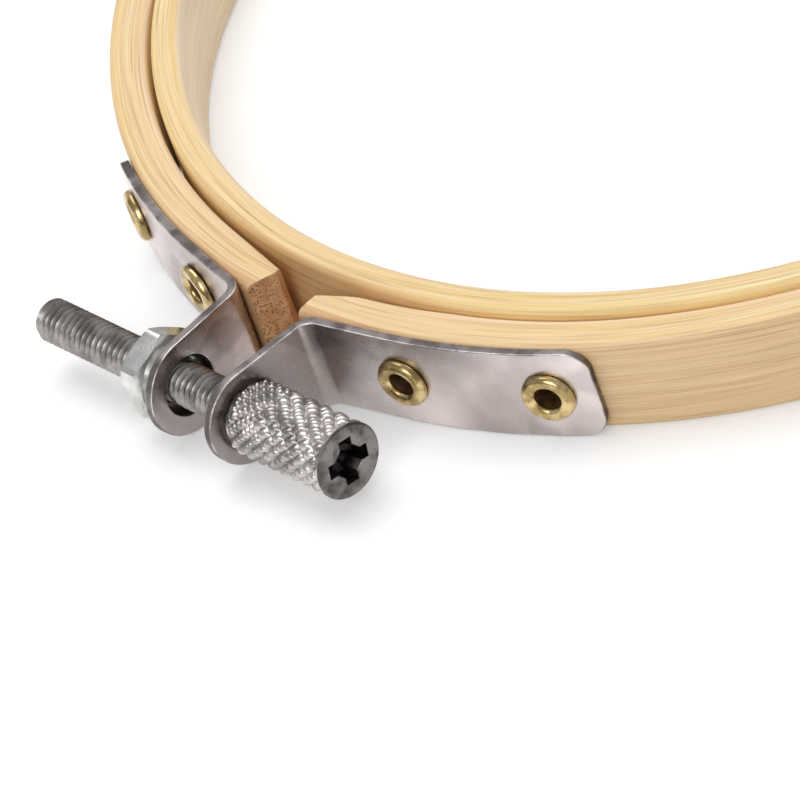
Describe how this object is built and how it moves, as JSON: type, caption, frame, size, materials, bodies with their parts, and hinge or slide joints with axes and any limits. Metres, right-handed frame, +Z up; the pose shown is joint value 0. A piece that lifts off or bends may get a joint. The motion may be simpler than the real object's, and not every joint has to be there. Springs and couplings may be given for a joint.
{
  "type": "embroidery hoop",
  "caption": "Round bamboo embroidery hoop: a closed inner ring inside a split outer ring drawn together by a knurled screw clamp.",
  "frame": {"origin": "centre of the inner ring's bore, at mid-height of the inner ring", "axes": "+Z up along the rings' axis, -Y towards the clamp, +X towards the knurled head; the screw runs along X"},
  "size_m": [0.1174, 0.1311, 0.01],
  "materials": {
    "bamboo_inner": "sanded bare bamboo",
    "bamboo_outer": "sanded bare bamboo with darker fibre streaks",
    "bracket_steel": "rolled steel strip, worn edges",
    "eyelet_brass": "tarnished bright brass",
    "screw_steel": "plated, knurled",
    "nut_zinc": "bright zinc plate"
  },
  "bodies": {
    "fixed_side": {"outer_ring_right": "bamboo_outer", "bracket_right": "bracket_steel", "eyelet_right_near": "eyelet_brass", "eyelet_right_far": "eyelet_brass"},
    "moving_side": {"outer_ring_left": "bamboo_outer", "bracket_left": "bracket_steel", "eyelet_left_near": "eyelet_brass", "eyelet_left_far": "eyelet_brass"},
    "screw": {"clamp_screw": "screw_steel"},
    "nut": {"hex_nut": "nut_zinc"},
    "inner_ring": {"inner_ring": "bamboo_inner"}
  },
  "joints": [
    {"name": "nut_travel", "type": "slide", "parent": "fixed_side", "child": "nut", "axis": [-1, 0, 0], "range_m": [-0.00049, 0.0077]},
    {"name": "screw_turn", "type": "hinge", "parent": "fixed_side", "child": "screw", "pos_m": [0, -0.0678, -0.0003], "axis": [1, 0, 0], "range_deg": [-253, 3965]},
    {"name": "ring_spread", "type": "hinge", "parent": "fixed_side", "child": "moving_side", "pos_m": [0, 0.0569, 0], "axis": [0, 0, -1], "range_deg": [-0.22, 3.43]},
    {"name": "inner_ring_lift", "type": "slide", "parent": "fixed_side", "child": "inner_ring", "axis": [0, 0, 1], "range_m": [0, 0.015]}
  ],
  "couplings": [
    {"joint": "screw_turn", "follows": "nut_travel", "rad_per_m": 8976},
    {"joint": "ring_spread", "follows": "nut_travel", "rad_per_m": 7.7675}
  ]
}
